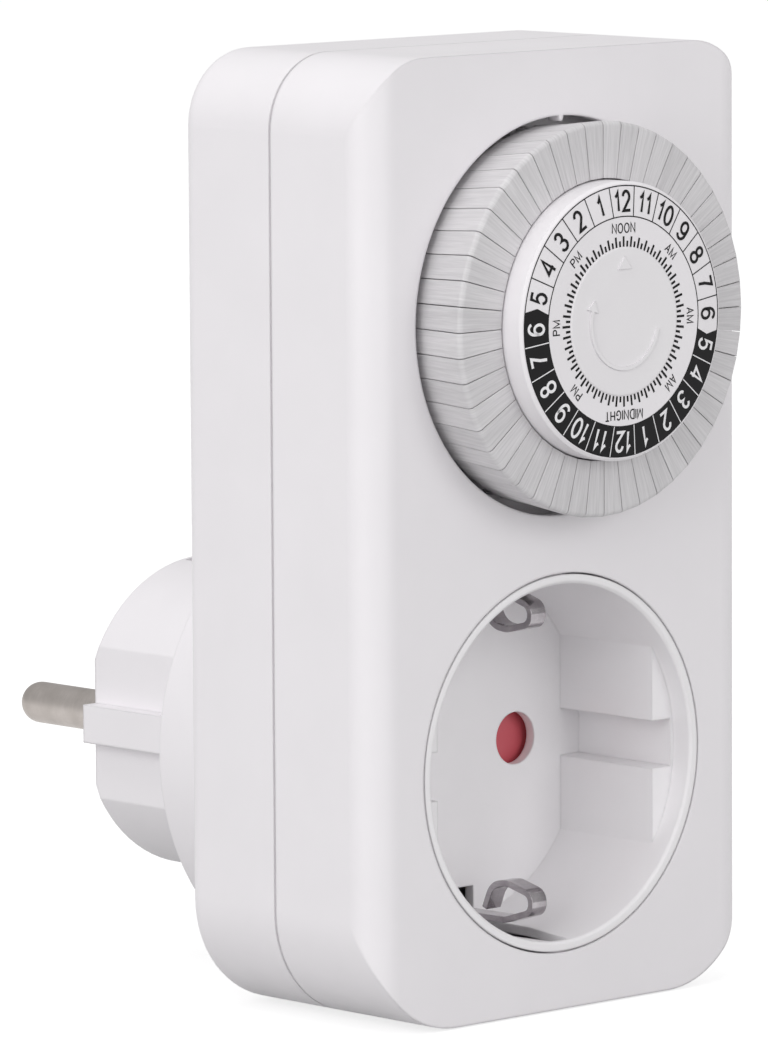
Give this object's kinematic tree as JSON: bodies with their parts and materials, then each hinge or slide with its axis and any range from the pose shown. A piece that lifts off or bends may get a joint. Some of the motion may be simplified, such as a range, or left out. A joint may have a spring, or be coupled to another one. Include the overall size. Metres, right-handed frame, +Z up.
{
  "type": "plug-in timer switch",
  "caption": "Wall plug-in timer: a dial ringed with push-in tabs above an earthed round socket, with a two-pin plug at the back.",
  "frame": {"origin": "middle of the plug's end face, between the two pins", "axes": "+Y the way the pins point, into the wall; +Z up towards the dial; +X to the right seen from the front"},
  "size_m": [0.058, 0.0899, 0.1068],
  "materials": {
    "housing_plastic": "satin white moulded plastic",
    "tab_plastic": "light grey moulded plastic",
    "dial_plastic": "white moulded plastic with a printed hour ring",
    "shutter_plastic": "red moulded plastic",
    "inner_plastic": "unpainted moulded plastic",
    "gear_plastic": "natural acetal",
    "motor_can": "zinc plated can",
    "pin_nickel": "nickel plated brass",
    "contact_nickel": "nickel plated spring strip",
    "contact_brass": "bare spring brass",
    "spring_steel": "bright steel"
  },
  "bodies": {
    "housing": {"front_cover": "housing_plastic", "rear_cover": "housing_plastic", "socket_well": "housing_plastic", "shutter_cage": "inner_plastic", "earth_clip_upper": "contact_nickel", "earth_clip_lower": "contact_nickel", "earth_bar": "contact_brass", "plug_earth_strip_upper": "contact_nickel", "plug_earth_strip_lower": "contact_nickel", "contact_clip_left": "contact_brass", "contact_clip_right": "contact_brass", "plug_pin_left": "pin_nickel", "plug_pin_right": "pin_nickel", "pin_carrier": "inner_plastic", "live_bar": "contact_brass", "load_bar": "contact_brass", "neutral_bar": "contact_brass", "fixed_contact": "contact_brass", "lever_pin": "spring_steel", "dial_axle": "spring_steel", "transfer_pin": "spring_steel", "motor": "motor_can", "mechanism_plate": "inner_plastic", "housing_screws": "spring_steel"},
    "dial": {"dial_base": "dial_plastic", "dial_face": "dial_plastic", "dial_cap": "housing_plastic"},
    "shutter": {"shutter": "shutter_plastic", "shutter_spring": "spring_steel"},
    "transfer": {"transfer_gear": "gear_plastic"},
    "drive": {"motor_pinion": "gear_plastic"},
    "lever": {"switch_lever": "inner_plastic"},
    "blade": {"moving_contact": "contact_brass"},
    "tabs_01": {"hour_tabs_01": "tab_plastic"},
    "tabs_02": {"hour_tabs_02": "tab_plastic"},
    "tabs_03": {"hour_tabs_03": "tab_plastic"},
    "tabs_04": {"hour_tabs_04": "tab_plastic"},
    "tabs_05": {"hour_tabs_05": "tab_plastic"},
    "tabs_06": {"hour_tabs_06": "tab_plastic"},
    "tabs_07": {"hour_tabs_07": "tab_plastic"},
    "tabs_08": {"hour_tabs_08": "tab_plastic"},
    "tabs_09": {"hour_tabs_09": "tab_plastic"},
    "tabs_10": {"hour_tabs_10": "tab_plastic"},
    "tabs_11": {"hour_tabs_11": "tab_plastic"},
    "tabs_12": {"hour_tabs_12": "tab_plastic"},
    "tabs_13": {"hour_tabs_13": "tab_plastic"},
    "tabs_14": {"hour_tabs_14": "tab_plastic"},
    "tabs_15": {"hour_tabs_15": "tab_plastic"},
    "tabs_16": {"hour_tabs_16": "tab_plastic"},
    "tabs_17": {"hour_tabs_17": "tab_plastic"},
    "tabs_18": {"hour_tabs_18": "tab_plastic"},
    "tabs_19": {"hour_tabs_19": "tab_plastic"},
    "tabs_20": {"hour_tabs_20": "tab_plastic"},
    "tabs_21": {"hour_tabs_21": "tab_plastic"},
    "tabs_22": {"hour_tabs_22": "tab_plastic"},
    "tabs_23": {"hour_tabs_23": "tab_plastic"},
    "tabs_24": {"hour_tabs_24": "tab_plastic"}
  },
  "joints": [
    {"name": "dial_turn", "type": "hinge", "parent": "housing", "child": "dial", "pos_m": [0, -0.0609, 0.0498], "axis": [0, 1, 0], "continuous": true},
    {"name": "shutter_turn", "type": "hinge", "parent": "housing", "child": "shutter", "pos_m": [0, -0.0409, 0], "axis": [0, 1, 0], "range_deg": [0, 50], "stiffness_Nm_per_rad": 0.0005, "springref_deg": -17.19},
    {"name": "transfer_turn", "type": "hinge", "parent": "housing", "child": "transfer", "pos_m": [0.01584, -0.0469, 0.06564], "axis": [0, 1, 0], "continuous": true},
    {"name": "drive_turn", "type": "hinge", "parent": "housing", "child": "drive", "pos_m": [0.0099, -0.0459, 0.0597], "axis": [0, 1, 0], "continuous": true},
    {"name": "lever_tilt", "type": "hinge", "parent": "housing", "child": "lever", "pos_m": [0, -0.04935, 0.0238], "axis": [-1, 0, 0], "range_deg": [0, 31], "stiffness_Nm_per_rad": 0.0005, "springref_deg": -11.46},
    {"name": "contact_bend", "type": "hinge", "parent": "housing", "child": "blade", "pos_m": [-0.012, -0.0474, 0.0275], "axis": [0, 0, 1], "range_deg": [0, 6.5]},
    {"name": "push_01", "type": "slide", "parent": "dial", "child": "tabs_01", "axis": [0, 1, 0], "range_m": [0, 0.003]},
    {"name": "push_02", "type": "slide", "parent": "dial", "child": "tabs_02", "axis": [0, 1, 0], "range_m": [0, 0.003]},
    {"name": "push_03", "type": "slide", "parent": "dial", "child": "tabs_03", "axis": [0, 1, 0], "range_m": [0, 0.003]},
    {"name": "push_04", "type": "slide", "parent": "dial", "child": "tabs_04", "axis": [0, 1, 0], "range_m": [0, 0.003]},
    {"name": "push_05", "type": "slide", "parent": "dial", "child": "tabs_05", "axis": [0, 1, 0], "range_m": [0, 0.003]},
    {"name": "push_06", "type": "slide", "parent": "dial", "child": "tabs_06", "axis": [0, 1, 0], "range_m": [0, 0.003]},
    {"name": "push_07", "type": "slide", "parent": "dial", "child": "tabs_07", "axis": [0, 1, 0], "range_m": [0, 0.003]},
    {"name": "push_08", "type": "slide", "parent": "dial", "child": "tabs_08", "axis": [0, 1, 0], "range_m": [0, 0.003]},
    {"name": "push_09", "type": "slide", "parent": "dial", "child": "tabs_09", "axis": [0, 1, 0], "range_m": [0, 0.003]},
    {"name": "push_10", "type": "slide", "parent": "dial", "child": "tabs_10", "axis": [0, 1, 0], "range_m": [0, 0.003]},
    {"name": "push_11", "type": "slide", "parent": "dial", "child": "tabs_11", "axis": [0, 1, 0], "range_m": [0, 0.003]},
    {"name": "push_12", "type": "slide", "parent": "dial", "child": "tabs_12", "axis": [0, 1, 0], "range_m": [0, 0.003]},
    {"name": "push_13", "type": "slide", "parent": "dial", "child": "tabs_13", "axis": [0, 1, 0], "range_m": [0, 0.003]},
    {"name": "push_14", "type": "slide", "parent": "dial", "child": "tabs_14", "axis": [0, 1, 0], "range_m": [0, 0.003]},
    {"name": "push_15", "type": "slide", "parent": "dial", "child": "tabs_15", "axis": [0, 1, 0], "range_m": [0, 0.003]},
    {"name": "push_16", "type": "slide", "parent": "dial", "child": "tabs_16", "axis": [0, 1, 0], "range_m": [0, 0.003]},
    {"name": "push_17", "type": "slide", "parent": "dial", "child": "tabs_17", "axis": [0, 1, 0], "range_m": [0, 0.003]},
    {"name": "push_18", "type": "slide", "parent": "dial", "child": "tabs_18", "axis": [0, 1, 0], "range_m": [0, 0.003]},
    {"name": "push_19", "type": "slide", "parent": "dial", "child": "tabs_19", "axis": [0, 1, 0], "range_m": [0, 0.003]},
    {"name": "push_20", "type": "slide", "parent": "dial", "child": "tabs_20", "axis": [0, 1, 0], "range_m": [0, 0.003]},
    {"name": "push_21", "type": "slide", "parent": "dial", "child": "tabs_21", "axis": [0, 1, 0], "range_m": [0, 0.003]},
    {"name": "push_22", "type": "slide", "parent": "dial", "child": "tabs_22", "axis": [0, 1, 0], "range_m": [0, 0.003]},
    {"name": "push_23", "type": "slide", "parent": "dial", "child": "tabs_23", "axis": [0, 1, 0], "range_m": [0, 0.003]},
    {"name": "push_24", "type": "slide", "parent": "dial", "child": "tabs_24", "axis": [0, 1, 0], "range_m": [0, 0.003]}
  ],
  "couplings": [
    {"joint": "transfer_turn", "follows": "dial_turn", "ratio": -4.3333},
    {"joint": "drive_turn", "follows": "dial_turn", "ratio": 10.833},
    {"joint": "contact_bend", "follows": "lever_tilt", "ratio": 0.2075}
  ]
}
